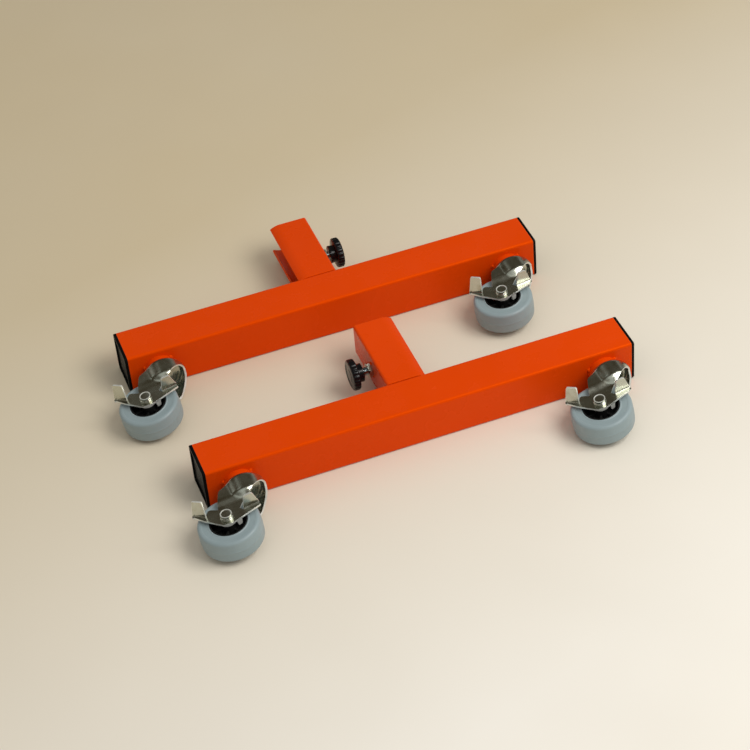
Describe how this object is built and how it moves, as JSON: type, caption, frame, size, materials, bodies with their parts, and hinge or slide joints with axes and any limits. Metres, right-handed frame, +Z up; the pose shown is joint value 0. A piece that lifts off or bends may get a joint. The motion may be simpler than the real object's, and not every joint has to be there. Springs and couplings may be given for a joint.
{
  "type": "engine stand",
  "caption": "Pair of square-tube crossbeams for a rolling shop stand, each with swivel brake castors and an open column socket clamped by a hand knob.",
  "frame": {"origin": "on the floor under the middle of the front crossbeam, which lies on its side", "axes": "+X along the crossbeams to the right, +Y from the castors towards the sockets (up in use), +Z up from the floor"},
  "size_m": [0.6444, 0.5493, 0.0739],
  "materials": {
    "orange_paint": "gloss powder coat",
    "black_cap": "moulded, slightly glossy",
    "black_knob": "moulded, glossy",
    "hub_plastic": "moulded, matte",
    "grey_rubber": "smooth grey tread",
    "zinc_plate": "bright zinc plate",
    "bare_steel": "ground steel"
  },
  "bodies": {
    "front_unit": {"front_crossbeam": "orange_paint", "front_end_caps": "black_cap", "front_bosses": "orange_paint", "front_stem_nuts": "zinc_plate", "front_socket": "orange_paint", "front_welds": "orange_paint", "front_clamp_nut": "zinc_plate", "front_left_kingpin": "zinc_plate", "front_left_race": "bare_steel", "front_right_kingpin": "zinc_plate", "front_right_race": "bare_steel"},
    "rear_unit": {"rear_crossbeam": "orange_paint", "rear_end_caps": "black_cap", "rear_bosses": "orange_paint", "rear_stem_nuts": "zinc_plate", "rear_socket": "orange_paint", "rear_welds": "orange_paint", "rear_clamp_nut": "zinc_plate", "rear_left_kingpin": "zinc_plate", "rear_left_race": "bare_steel", "rear_right_kingpin": "zinc_plate", "rear_right_race": "bare_steel"},
    "front_clamp_pad": {"front_pad": "bare_steel"},
    "front_clamp_screw": {"front_stud": "zinc_plate", "front_knob": "black_knob"},
    "rear_clamp_pad": {"rear_pad": "bare_steel"},
    "rear_clamp_screw": {"rear_stud": "zinc_plate", "rear_knob": "black_knob"},
    "front_left_fork": {"front_left_fork": "zinc_plate", "front_left_balls": "bare_steel", "front_left_axle": "zinc_plate", "front_left_axle_nut": "zinc_plate", "front_left_sleeve": "bare_steel"},
    "front_left_wheel": {"front_left_hub": "hub_plastic", "front_left_tyre": "grey_rubber"},
    "front_left_brake": {"front_left_lever": "zinc_plate"},
    "front_right_fork": {"front_right_fork": "zinc_plate", "front_right_balls": "bare_steel", "front_right_axle": "zinc_plate", "front_right_axle_nut": "zinc_plate", "front_right_sleeve": "bare_steel"},
    "front_right_wheel": {"front_right_hub": "hub_plastic", "front_right_tyre": "grey_rubber"},
    "front_right_brake": {"front_right_lever": "zinc_plate"},
    "rear_left_fork": {"rear_left_fork": "zinc_plate", "rear_left_balls": "bare_steel", "rear_left_axle": "zinc_plate", "rear_left_axle_nut": "zinc_plate", "rear_left_sleeve": "bare_steel"},
    "rear_left_wheel": {"rear_left_hub": "hub_plastic", "rear_left_tyre": "grey_rubber"},
    "rear_left_brake": {"rear_left_lever": "zinc_plate"},
    "rear_right_fork": {"rear_right_fork": "zinc_plate", "rear_right_balls": "bare_steel", "rear_right_axle": "zinc_plate", "rear_right_axle_nut": "zinc_plate", "rear_right_sleeve": "bare_steel"},
    "rear_right_wheel": {"rear_right_hub": "hub_plastic", "rear_right_tyre": "grey_rubber"},
    "rear_right_brake": {"rear_right_lever": "zinc_plate"}
  },
  "joints": [
    {"name": "rear_unit_apart", "type": "slide", "parent": "front_unit", "child": "rear_unit", "axis": [0, 1, 0], "range_m": [0, 0.15]},
    {"name": "front_pad_slide", "type": "slide", "parent": "front_unit", "child": "front_clamp_pad", "axis": [1, 0, 0], "range_m": [-0.0035, 0.00656]},
    {"name": "front_knob_turn", "type": "hinge", "parent": "front_clamp_pad", "child": "front_clamp_screw", "pos_m": [0, 0.092, 0.03625], "axis": [1, 0, 0], "range_deg": [-720, 1350]},
    {"name": "rear_pad_slide", "type": "slide", "parent": "rear_unit", "child": "rear_clamp_pad", "axis": [-1, 0, 0], "range_m": [-0.00613, 0.00394]},
    {"name": "rear_knob_turn", "type": "hinge", "parent": "rear_clamp_pad", "child": "rear_clamp_screw", "pos_m": [-0.0333, 0.3423, 0.03625], "axis": [-1, 0, 0], "range_deg": [-1260, 810]},
    {"name": "front_left_swivel", "type": "hinge", "parent": "front_unit", "child": "front_left_fork", "pos_m": [-0.2475, -0.03, 0.03], "axis": [0, 1, 0], "continuous": true},
    {"name": "front_left_roll", "type": "hinge", "parent": "front_left_fork", "child": "front_left_wheel", "pos_m": [-0.28128, -0.102, 0.02615], "axis": [-0.1132, 0, 0.9936], "continuous": true},
    {"name": "front_left_brake_press", "type": "hinge", "parent": "front_left_fork", "child": "front_left_brake", "pos_m": [-0.28128, -0.102, 0.02615], "axis": [-0.1132, 0, 0.9936], "range_deg": [0, 12]},
    {"name": "front_right_swivel", "type": "hinge", "parent": "front_unit", "child": "front_right_fork", "pos_m": [0.2475, -0.03, 0.03], "axis": [0, 1, 0], "continuous": true},
    {"name": "front_right_roll", "type": "hinge", "parent": "front_right_fork", "child": "front_right_wheel", "pos_m": [0.21386, -0.102, 0.02503], "axis": [-0.1461, 0, 0.9893], "continuous": true},
    {"name": "front_right_brake_press", "type": "hinge", "parent": "front_right_fork", "child": "front_right_brake", "pos_m": [0.21386, -0.102, 0.02503], "axis": [-0.1461, 0, 0.9893], "range_deg": [0, 12]},
    {"name": "rear_left_swivel", "type": "hinge", "parent": "rear_unit", "child": "rear_left_fork", "pos_m": [-0.2775, 0.2203, 0.03], "axis": [0, 1, 0], "continuous": true},
    {"name": "rear_left_roll", "type": "hinge", "parent": "rear_left_fork", "child": "rear_left_wheel", "pos_m": [-0.31111, 0.1483, 0.02486], "axis": [-0.1513, 0, 0.9885], "continuous": true},
    {"name": "rear_left_brake_press", "type": "hinge", "parent": "rear_left_fork", "child": "rear_left_brake", "pos_m": [-0.31111, 0.1483, 0.02486], "axis": [-0.1513, 0, 0.9885], "range_deg": [0, 12]},
    {"name": "rear_right_swivel", "type": "hinge", "parent": "rear_unit", "child": "rear_right_fork", "pos_m": [0.2175, 0.2203, 0.03], "axis": [0, 1, 0], "continuous": true},
    {"name": "rear_right_roll", "type": "hinge", "parent": "rear_right_fork", "child": "rear_right_wheel", "pos_m": [0.18363, 0.1483, 0.02704], "axis": [-0.0872, 0, 0.9962], "continuous": true},
    {"name": "rear_right_brake_press", "type": "hinge", "parent": "rear_right_fork", "child": "rear_right_brake", "pos_m": [0.18363, 0.1483, 0.02704], "axis": [-0.0872, 0, 0.9962], "range_deg": [0, 12]}
  ],
  "couplings": [
    {"joint": "front_pad_slide", "follows": "front_knob_turn", "m_per_rad": 0.00027852},
    {"joint": "rear_pad_slide", "follows": "rear_knob_turn", "m_per_rad": 0.00027852}
  ]
}
